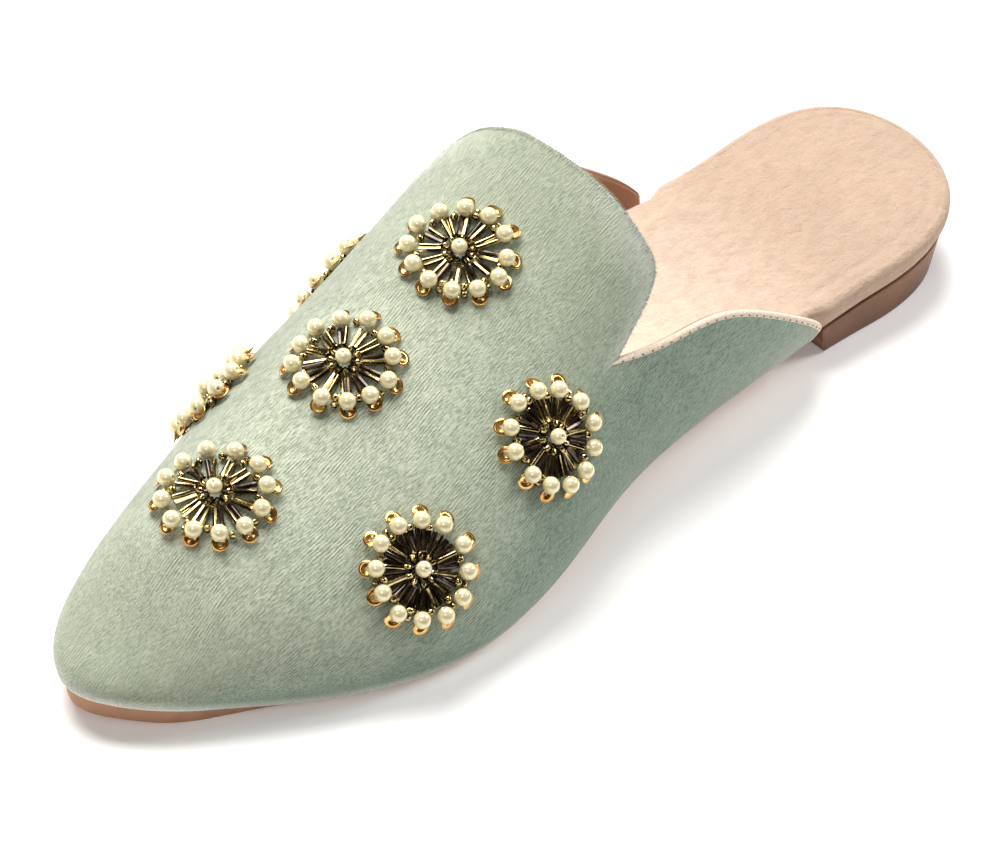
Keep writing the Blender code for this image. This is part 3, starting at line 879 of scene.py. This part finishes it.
def make_lining():
    """The wall's inner face, closed by a rounded end inside the toe."""
    parts = []
    for along, turn in UPPER.grids:
        is_body = along.shape[1] == COLUMNS
        kept = along[0] > (LINING_START if is_body else 0)
        points, _ = velvet_point(along[:, kept], turn[:, kept], WALL)
        if is_body:
            middle = points[:, 0].mean(0)
            shares = np.linspace(1, 0, TOE_CAP_STEPS, endpoint=False)[:, None, None]
            cap = middle + (points[:, 0] - middle) * np.sqrt(1 - shares**2)
            cap[:, :, 1] = middle[1] - TOE_CAP * shares[:, 0]
            points = np.concatenate([np.moveaxis(cap, 0, 1), points], 1)
        parts.append((points.reshape(-1, 3), grid_faces(*points.shape[:2])))
    parts.append(strip(rim_lines(UPPER.top_path(), WALL / 2, VELVET_OVER, pi, 6)))
    piece = make_shell("upper_lining", parts, ["lining"])
    turn_outwards(piece, WELD)
    face_away(piece, INSIDE, inwards=True)


def make_binding():
    """The lining's pale turned edge along the wings, its stitches and a fine red-brown line."""
    whole = UPPER.top_path()
    rod, rod_faces = lathe(STITCH, even_turns(6))
    band, piping, stitches = [], [], []
    for side in (1, -1):
        path = whole[whole[:, 1] * side >= NOTCH.turn]
        points, normals, run, off = path_frame(path)
        steps = np.linalg.norm(np.diff(points, axis=0), axis=1)
        walked = np.concatenate([[0], np.cumsum(steps)])
        share = (path[:, 0] - NOTCH.along) / (WING_END - NOTCH.along)
        wide = np.interp(share, *zip(*BAND_WIDTHS))[:, None]
        lines = [points - off * row.down * wide + normals * row.rise for row in BINDING]
        rise = BINDING[-1].rise
        band.append(strip(lines + rim_lines(path, WALL / 2, 0.0, BAND_OVER, 8, rise)))
        proud = rise + PIPING_PROUD
        piping.append(strip(rim_lines(path, WALL / 2, BAND_OVER, PIPING_OVER, 5, proud)))
        for at in np.arange(STITCH_STEP, walked[-1], STITCH_STEP):
            place, along, up, out = (
                np.array([np.interp(at, walked, values[:, i]) for i in range(3)])
                for values in (points, run, normals, off)
            )
            middle = place + out * STITCH_UP + up * (rise + 0.01)
            shape = middle + rod[:, :1] * along + rod[:, 1:2] * out + rod[:, 2:] * up
            stitches.append((shape, rod_faces))
    groups = (band, piping, stitches)
    kinds = [kind for kind, group in enumerate(groups) for _, faces in group for _ in faces]
    materials = ["binding", "piping", "thread"]
    piece = make_shell("edge_binding", band + piping + stitches, materials, kinds)
    turn_outwards(piece)


# --- bottom ---

ACROSS = 60
INSOLE_ALONG, SOLE_ALONG, HEEL_ALONG = 150, 110, 70


def bottom_curve(column, eased=False):
    """One column of the bottom's table as a function, eased if it is to have no corners."""
    knots = np.array([row.along for row in BOTTOM])
    values = np.array([getattr(row, column) for row in BOTTOM])

    def curve(along):
        i = np.clip(np.searchsorted(knots, along) - 1, 0, len(knots) - 2)
        share = np.clip((along - knots[i]) / (knots[i + 1] - knots[i]), 0, 1)
        share = share * share * (3 - 2 * share) if eased else share
        return values[i] + (values[i + 1] - values[i]) * share

    return curve


def round_ended(count):
    """Shares from 0 to 1, closer together at both ends."""
    return (1 - np.cos(np.linspace(0, pi, count))) / 2


def make_layer(name, levels, shares, grow, height, ends, material, crown=None):
    """A layer through a line round it at each level, closed across its underside and its top.

    At a level and a distance along, grow is how far the line lies outside the feather line and
    height how high. At a level, ends are where it starts and stops (None: round toe or heel).
    """
    sides = {1: [], -1: []}
    for level in levels:
        start, end = ends(level)
        first = 0.0 if start is None else start
        last = LENGTH if end is None else end
        reach = grow(level, first + (last - first) * shares)
        start = -reach[0] if start is None else start
        end = LENGTH + reach[-1] if end is None else end
        along = start + (end - start) * shares
        for side, lines in sides.items():
            lines.append(np.stack([outline(along, side, reach), along, height(level, along)], -1))
    over = round_ended(ACROSS)[1:-1]
    top = [sides[1][-1] * (1 - part) + sides[-1][-1] * part for part in over]
    low = [sides[-1][0] * (1 - part) + sides[1][0] * part for part in over]
    if crown is not None:
        for line, part in zip(top, over):
            line[:, 2] += crown(line[:, 1], line[:, 0], part)
    loops = np.stack(sides[1] + top + sides[-1][::-1] + low, 1)
    count, around = loops.shape[:2]
    faces = grid_faces(count, around, closed=True)
    for i, cut in zip((0, count - 1), ends(levels[0])):
        if cut is not None:
            faces.append(tuple(range(i * around, (i + 1) * around)))
    piece = make_shell(name, [(loops.reshape(-1, 3), faces)], [material])
    turn_outwards(piece, WELD)
    return piece


# Faint wrinkles across the insole: place, distance from the middle line, length, width, depth.
WRINKLES = table(
    "along across long wide deep",
    (206.0, 6.0, 9.0, 2.2, 0.10),
    (214.0, -8.0, 12.0, 2.6, 0.12),
    (226.0, 4.0, 14.0, 3.0, 0.12),
    (192.0, -2.0, 12.0, 3.4, 0.14),
    (176.0, 5.0, 10.0, 3.0, 0.10),
)
Dish = namedtuple("Dish", "along long wide deep")
HEEL_DISH = Dish(218.0, 26.0, 15.0, 0.5)
SWELL = 0.35  # how far the padding stands up, and how evenly it does so (0 is evenly)
SWELL_POWER = 0.6
SEAM_IN, SEAM_WIDE, SEAM_DEEP = 3.4, 0.8, 0.16  # the groove pressed in along the insole's edge
SETTLE = 0.25  # how far its underside sinks onto the heel and the sole
ROLL_STEPS = 18
SIDE_SHARE = 0.42  # the share of its height over which its side darkens with painted shade


def insole_crown(along, x, part):
    """How far the padding stands up: swollen, dished under the heel and a little wrinkled."""
    across = x - middle_line(along)
    dish = ((along - HEEL_DISH.along) / HEEL_DISH.long) ** 2 + (across / HEEL_DISH.wide) ** 2
    height = SWELL * np.sin(pi * part) ** SWELL_POWER - HEEL_DISH.deep * np.exp(-dish)
    for fold in WRINKLES:
        away = ((along - fold.along) / fold.wide) ** 2 + ((across - fold.across) / fold.long) ** 2
        height = height - fold.deep * np.exp(-away)
    from_edge = (outline(along, 1, 0.0) - outline(along, -1, 0.0)) * min(part, 1 - part)
    return height - SEAM_DEEP * np.exp(-(((from_edge - SEAM_IN) / SEAM_WIDE) ** 2))


def make_insole():
    """The padded insole, with its rolled side, settled onto the layers under it."""
    under, upper = bottom_curve("insole_under", True), bottom_curve("insole_upper", True)
    thick = bottom_curve("insole_thick")
    at, turned = zip(*ROLL)
    smooth_turn = spline(at, turned)

    def grow(level, along):
        # midway between the straight and the smooth line through the table
        turned_in = (max(0.0, np.interp(level, at, turned)) + max(0.0, smooth_turn(level))) / 2
        slope = under(along) + (upper(along) - under(along)) * min(1.0, 2 * level)
        return slope - turned_in * thick(along) / thick(LENGTH)

    def height(level, along):
        return feather_level(along) + level * thick(along) - SETTLE * (1 - level) ** 4

    def ends(level):
        return None, None

    levels, shares = np.linspace(0, 1, ROLL_STEPS), round_ended(INSOLE_ALONG)
    shape = (levels, shares, grow, height, ends)
    piece = make_layer("padded_insole", *shape, "suede", insole_crown)
    _, along, up = shoe_points(piece).T
    share = (up - feather_level(along)) / thick(along)
    # where the painted shade of the rolled side falls
    set_value(piece, "rolled", np.clip((1.0 - share) / SIDE_SHARE, 0, 1))
    set_value(piece, "heelwards", np.clip(along / LENGTH, 0, 1))
    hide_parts("insole")


def layer_under(along):
    """Height of the top of the outsole and of the heel block."""
    return feather_level(along) - GAP


def make_outsole():
    """The thin sole from the toe to the heel's breast, with its bevelled lower corner."""
    top_grow, under_grow = bottom_curve("sole_top"), bottom_curve("sole_under")
    thick = bottom_curve("sole_thick")

    def under(along):
        return np.maximum(0.0, layer_under(along) + GAP - thick(along))

    def grow(level, along):
        run = SOLE_BEVEL_RUN * np.sqrt(min(1.0, level / SOLE_BEVEL_RISE))
        if level > SOLE_BEVEL_RISE:
            past = (level - SOLE_BEVEL_RISE) / (1 - SOLE_BEVEL_RISE)
            run = SOLE_BEVEL_RUN + (1 - SOLE_BEVEL_RUN) * past
        return under_grow(along) + run * (top_grow(along) - under_grow(along))

    def height(level, along):
        return under(along) + level * (layer_under(along) - under(along))

    def ends(level):
        return None, BREAST_TOP - GAP

    levels = np.linspace(0, 1, 12)
    shares = 1 - np.sin(np.linspace(0, pi / 2, SOLE_ALONG))[::-1]
    piece = make_layer("leather_outsole", levels, shares, grow, height, ends, "outsole")
    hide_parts("outsole")


HEEL_CORNER = 0.06  # share of the heel's height that its rounded lower corner takes


def make_heel():
    """The low heel block, with its slanting front face and rounded lower corner."""

    def corner(level):
        return HEEL_CHAMFER * (1 - min(1.0, level / HEEL_CORNER)) ** 2

    def grow(level, along):
        reach = HEEL_UNDER_GROW + (HEEL_TOP_GROW - HEEL_UNDER_GROW) * level - corner(level)
        return np.full_like(along, reach, dtype=float)

    def height(level, along):
        return level * layer_under(along)

    def ends(level):
        return BREAST_UNDER + (BREAST_TOP - BREAST_UNDER) * level + corner(level), None

    levels = np.concatenate([np.linspace(0, HEEL_CORNER, 4), np.linspace(2 * HEEL_CORNER, 1, 10)])
    shares = np.sin(np.linspace(0, pi / 2, HEEL_ALONG))
    piece = make_layer("heel_block", levels, shares, grow, height, ends, "heel")
    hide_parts("heel")


# --- medallions ---

# Beads: radius, radius of the hole, half the length, steps along and sides.
PEARL = (1.8, 0.28, 1.8, 16, 24)
MIDDLE_PEARL = (0.93 * 1.8, 0.28, 0.93 * 1.8, 16, 24)
SEED_BEAD = (0.90, 0.38, 0.66, 8, 12)
ROUND_BEAD = (0.98, 0.40, 0.80, 9, 14)
SEQUIN = (1.72, 0.40, 0.55)  # radius, radius of the hole, depth of the cup
SEQUIN_THICK, SEQUIN_SIDES = 0.12, 20
BUGLE_END = [(0.5, 0.40), (0.5, 0.92), (0.465, 1.10), (0.40, 1.04), (0.26, 0.98)]
BUGLE_FACES, BUGLE_BEVEL = 6, 0.24  # the bevel as a share of a face
BUGLE_LONG, BUGLE_RADIUS = (4.5, 5.0), (0.52, 0.60)  # from the smallest to the largest
FILL_LONG, FILL_RADIUS = 4.6, 0.62  # the dark bugles between the spokes of a side medallion, painted shade

# Where they sit: how far from the medallion's middle, and how high over the velvet.
PEARL_COUNT, PEARL_RING, PEARL_LIFT = 12, 9.8, 2.3
MIDDLE_LIFT = 3.0
SEED_COUNT, SEED_RING, SEED_LIFT = 10, 2.85, 1.25
UNDER_RING, UNDER_LIFT = 2.0, 0.65  # dark seed beads under the middle pearl, painted shade
SPOKE_MIDDLE, SPOKE_APART, SPOKE_LIFT = 5.8, 0.58, 1.0
SPLAY = 0.06  # how far each bugle of a spoke is turned away from the other, in radians
FILL_RING, FILL_LIFT = SPOKE_MIDDLE + 0.2, 0.72
ROUND_RING, ROUND_LIFT, ROUND_SHARE = 8.5, 1.15, 0.9  # between most pearls
LOOSE_RING, LOOSE_LIFT, LOOSE_SHARE = 9.9, 0.8, 0.4  # and between some of them
SEQUIN_OUT, SEQUIN_LIFT, SEQUIN_TILT = 1.45, 1.15, radians(24)  # outside each pearl
BRIGHT, DARK = 0, 1  # the two glasses of the bugles and small beads
# dark bugles in a spoke: in the middle medallions, and more in the side ones, where the extra are
# painted shade
DARK_SHARE, DARK_SHARE_SIDE = 0.5, 0.8
DROP_FROM = 20.0  # the height from which each bead is laid onto the velvet
SHARP = radians(20)


class SeatFrame:
    """A medallion's frame on the upper: x runs towards the heel and z out of the surface."""

    def __init__(self, seat, surface):
        here = upper_point(seat.along, seat.turn)
        back = upper_point(seat.along + 1, seat.turn) - upper_point(seat.along - 1, seat.turn)
        more, less = seat.turn + 0.02, seat.turn - 0.02
        inward = upper_point(seat.along, more) - upper_point(seat.along, less)
        x_axis = Vector(back).normalized()
        z_axis = Vector(inward).cross(x_axis).normalized()
        self.axes = Matrix((x_axis, z_axis.cross(x_axis), z_axis)).transposed()
        self.origin = Vector(to_row(here))
        self.surface = surface

    def place(self, distance, angle, lift, tilt=0.0, spin=0.0):
        """A bead's place in metres: its x runs outwards along the velvet, its z away from it."""
        flat = Vector((distance * cos(angle), distance * sin(angle), DROP_FROM)) * MM
        start = self.origin + self.axes @ flat
        hit, normal, _, _ = self.surface.ray_cast(start, -self.axes.col[2])
        outwards = self.axes @ Vector((cos(angle + spin), sin(angle + spin), 0))
        outwards = (outwards - normal * outwards.dot(normal)).normalized()
        aside = normal.cross(outwards)
        turn = Matrix.Rotation(tilt, 3, aside)
        axes = Matrix((turn @ outwards, aside, turn @ normal)).transposed().to_4x4()
        axes.translation = hit + normal * lift * MM
        return axes


def bead(radius, hole, length, steps, sides):
    """A round or flattened bead with a hole through it along x."""
    start = np.arcsin(hole / radius)
    angles = np.linspace(start, pi - start, steps)
    return lathe([(-length * cos(a), radius * sin(a)) for a in angles], even_turns(sides))


def bugle(length, radius, spin):
    """A long six-faced tube bead with narrow bevels between its faces and flared ends."""
    profile = [(-x, r) for x, r in BUGLE_END] + BUGLE_END[::-1]
    bevel = BUGLE_BEVEL / 2
    corners = [k + part for k in range(BUGLE_FACES) for part in (bevel, 1 - bevel)]
    turns = spin + 2 * pi * np.array(corners) / BUGLE_FACES
    return lathe([(x * length, r * radius) for x, r in profile], turns)


def sequin(radius, hole, cup):
    """A thin cupped disc with a hole, facing local z."""
    upper = [(hole, 0.0), (hole + 0.25, 0.02), (0.55 * radius, 0.35 * cup), (radius, cup)]
    profile = upper + [(r, z - SEQUIN_THICK) for r, z in upper[::-1]]
    turns = even_turns(SEQUIN_SIDES)
    across, up = np.cos(turns), np.sin(turns)
    rings = [np.stack([r * across, r * up, np.full_like(up, z)], -1) for r, z in profile]
    return ring_round(rings)


class Cluster:
    """Many beads in one mesh."""

    def __init__(self):
        self.parts, self.kinds = [], []

    def add(self, shape, matrix, kind=0):
        points, faces = shape
        turned = points @ np.array(matrix.to_3x3()).T * MM + np.array(matrix.translation)
        self.parts.append((turned, faces))
        self.kinds += [kind] * len(faces)

    def finish(self, name, slot, materials, sharp=None):
        piece = make_object(name, self.parts, materials, self.kinds)
        if sharp is not None:
            piece.data.set_sharp_from_angle(angle=sharp)
        turn_outwards(piece)
        return piece


def make_medallion(seat, surface, rng):
    """A wheel of bugles inside a ring of pearls and sequins, with one pearl in the middle."""
    frame = SeatFrame(seat, surface)
    pearls, glass, foil = Cluster(), Cluster(), Cluster()
    pearl, seed, disc = bead(*PEARL), bead(*SEED_BEAD), sequin(*SEQUIN)
    full = not seat.name.startswith("medallion_centre")  # the side ones get dark filling bugles and more dark bugles, painted shade between their spokes
    dark_share = DARK_SHARE_SIDE if full else DARK_SHARE
    vary = rng.uniform
    step = 2 * pi / PEARL_COUNT
    start = vary(0, step)

    pearls.add(bead(*MIDDLE_PEARL), frame.place(0, start, MIDDLE_LIFT, tilt=pi / 2))
    for i in range(SEED_COUNT):
        angle = start + 2 * pi * (i + vary(-0.15, 0.15)) / SEED_COUNT
        lift = SEED_LIFT + vary(-0.1, 0.2)
        glass.add(seed, frame.place(SEED_RING, angle, lift, spin=pi / 2))
        # painted shade: dark beads fill the shade under the middle pearl
        glass.add(seed, frame.place(UNDER_RING, angle, UNDER_LIFT, spin=pi / 2), DARK)
    for i in range(PEARL_COUNT):
        angle = start + step * (i + vary(-0.06, 0.06))
        between = angle + step / 2
        for side in (-1, 1):
            # the two bugles of a spoke lie side by side, one of them often darker
            apart = side * SPOKE_APART + vary(-0.1, 0.1)
            turned = angle + np.arctan2(apart, SPOKE_MIDDLE)
            rod = bugle(vary(*BUGLE_LONG), vary(*BUGLE_RADIUS), vary(0, 1))
            lift = SPOKE_LIFT + vary(-0.1, 0.35)
            spin = angle - turned + side * SPLAY + vary(-0.07, 0.07)
            out = SPOKE_MIDDLE + vary(-0.25, 0.25)
            darker = rng.random() < dark_share
            kind = DARK if side > 0 and darker else BRIGHT
            place = frame.place(out, turned, lift, tilt=vary(-0.06, 0.1), spin=spin)
            glass.add(rod, place, kind)
        # painted shade: a dark bugle fills each gap between the spokes of a side medallion
        if full:
            rod = bugle(FILL_LONG, FILL_RADIUS, vary(0, 1))
            glass.add(rod, frame.place(FILL_RING, between, FILL_LIFT), DARK)
        distance = PEARL_RING + vary(-0.35, 0.3)
        pearls.add(pearl, frame.place(distance, angle, PEARL_LIFT + vary(-0.25, 0.15)))
        if rng.random() < ROUND_SHARE:
            out = ROUND_RING + vary(-0.3, 0.3)
            place = frame.place(out, between, ROUND_LIFT, spin=vary(-1, 1))
            glass.add(bead(*ROUND_BEAD), place)
        if rng.random() < LOOSE_SHARE:
            glass.add(seed, frame.place(LOOSE_RING, between, LOOSE_LIFT, spin=vary(-1, 1)))
        out = distance + SEQUIN_OUT + vary(-0.15, 0.25)
        tilt = SEQUIN_TILT + vary(-0.25, 0.3)
        foil.add(disc, frame.place(out, angle, SEQUIN_LIFT, tilt=tilt, spin=vary(-0.25, 0.25)))
    ring = pearls.finish(seat.name + "_pearls", "pearl", ["pearl"])
    glass.finish(seat.name + "_bugles", "bronze", ["bronze", "dark_glass"], sharp=SHARP)
    foil.finish(seat.name + "_sequins", "amber", ["amber"])
    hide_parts(seat.name)


# --- the room ---

# Round soft lamps: where each hangs and its size in metres, its power in watts, and its colour.
LIGHTS = table(
    "name place size power tone",
    ("key", (-0.60, 0.13, 1.06), 1.00, 30.0, (1.0, 0.985, 0.96)),
    ("front", (0.35, -0.95, 1.1), 0.5, 2.8, (1.0, 0.99, 0.98)),
    ("back", (0.45, 1.0, 0.9), 0.5, 9.0, (0.97, 0.99, 1.0)),
)
BRIGHT_SIDE = (-0.60, 0.22, 0.77)  # the room is brightest this way, and dimmest the other
BRIGHT_FROM, BRIGHT_TO = -0.45, 0.75  # between these, as a cosine, it goes from dim to bright
ROOM_DIM, ROOM_BRIGHT = 0.10, 1.30
WALL_DIM = 0.2  # the room's walls, against its ceiling
CEILING_FROM = 0.6  # the height, as a sine, at which the ceiling starts
FLOOR_HALF = 6.0
FLOOR_GLOW = 0.20  # the floor is a lit table, so shadows on it stay pale
AIM = Vector((0.0, 0.0, 0.03))  # where the lamps point

# The camera: its direction from the shoe, its distance, and where it looks.
AZIMUTH, ELEVATION, ROLL_ANGLE = radians(37.954), radians(42.522), radians(9.325)
DISTANCE = 1.3569
LENS = 238.3
SENSOR = 36.0
LOOK_AT = Vector((0.8, 0.2, 25.0)) * MM
SHIFT_RIGHT, SHIFT_UP = -3.632 * MM, -15.534 * MM


def make_camera():
    level_back = Vector((sin(AZIMUTH), -cos(AZIMUTH), 0.0))
    back = level_back * cos(ELEVATION) + Vector((0.0, 0.0, sin(ELEVATION)))
    level = Vector((cos(AZIMUTH), sin(AZIMUTH), 0.0))
    upright = back.cross(level)
    right = level * cos(ROLL_ANGLE) + upright * sin(ROLL_ANGLE)
    up = upright * cos(ROLL_ANGLE) - level * sin(ROLL_ANGLE)
    data = bpy.data.cameras.new("camera")
    data.lens = LENS
    data.sensor_width = SENSOR
    data.clip_start, data.clip_end = 0.01, 20.0
    camera = bpy.data.objects.new("camera", data)
    matrix = Matrix((right, up, back)).transposed().to_4x4()
    matrix.translation = LOOK_AT + right * SHIFT_RIGHT + up * SHIFT_UP + back * DISTANCE
    camera.matrix_world = matrix
    link(camera)
    bpy.context.scene.camera = camera


def make_world():
    """A room that is bright overhead and on one side, and dim on the other."""
    world = bpy.data.worlds.new("room")
    n = Nodes(world, "Background")
    place, eased = n.place("Generated"), "SMOOTHSTEP"
    towards = n.dot(place, BRIGHT_SIDE)
    levels = (BRIGHT_FROM, BRIGHT_TO, ROOM_DIM, ROOM_BRIGHT)
    side = n.range(towards, *levels, interpolation_type=eased)
    rise = n.range(n.axis(place, 2), 0.0, CEILING_FROM, WALL_DIM, 1.0, interpolation_type=eased)
    n.set(Strength=n.times(side, rise))
    bpy.context.scene.world = world


def make_floor():
    """A plain pale floor, a little brighter by itself."""
    n = new_material("floor")
    haze = n.noise(n.place(), 3.0)
    n.set(Base_Color=n.mix(haze, (0.90, 0.885, 0.875), (0.93, 0.92, 0.91)))
    n.set(Emission_Color=(1.0, 0.975, 0.96), Emission_Strength=FLOOR_GLOW)
    n.set(Roughness=0.9, Specular_IOR_Level=0.1)
    n.bump(n.noise(n.place(), 400.0), 0.05, 0.1)
    mesh = bpy.data.meshes.new("floor")
    corners = [(-1, -1), (1, -1), (1, 1), (-1, 1)]
    mesh.from_pydata([(FLOOR_HALF * x, FLOOR_HALF * y, 0) for x, y in corners], [], [range(4)])
    mesh.materials.append(MATERIALS["floor"])
    floor = bpy.data.objects.new("floor", mesh)
    link(floor)


def make_lights():
    for row in LIGHTS:
        data = bpy.data.lights.new(row.name, "AREA")
        data.shape = "DISK"
        data.size = row.size
        data.energy = row.power
        data.color = row.tone
        lamp = bpy.data.objects.new(row.name, data)
        lamp.location = row.place
        lamp.rotation_euler = (AIM - lamp.location).to_track_quat("-Z", "Y").to_euler()
        link(lamp)


make_camera()
make_floor()
make_world()
make_lights()
bpy.context.scene.view_settings.view_transform = "Standard"

make_materials()
velvet = make_velvet()
make_fringe(np.random.default_rng(FRINGE_SEED))
make_lining()
make_binding()
make_insole()
make_outsole()
make_heel()
surface = BVHTree.FromObject(velvet, bpy.context.evaluated_depsgraph_get())
for i, seat in enumerate(SEATS):
    make_medallion(seat, surface, np.random.default_rng(SEED + i))
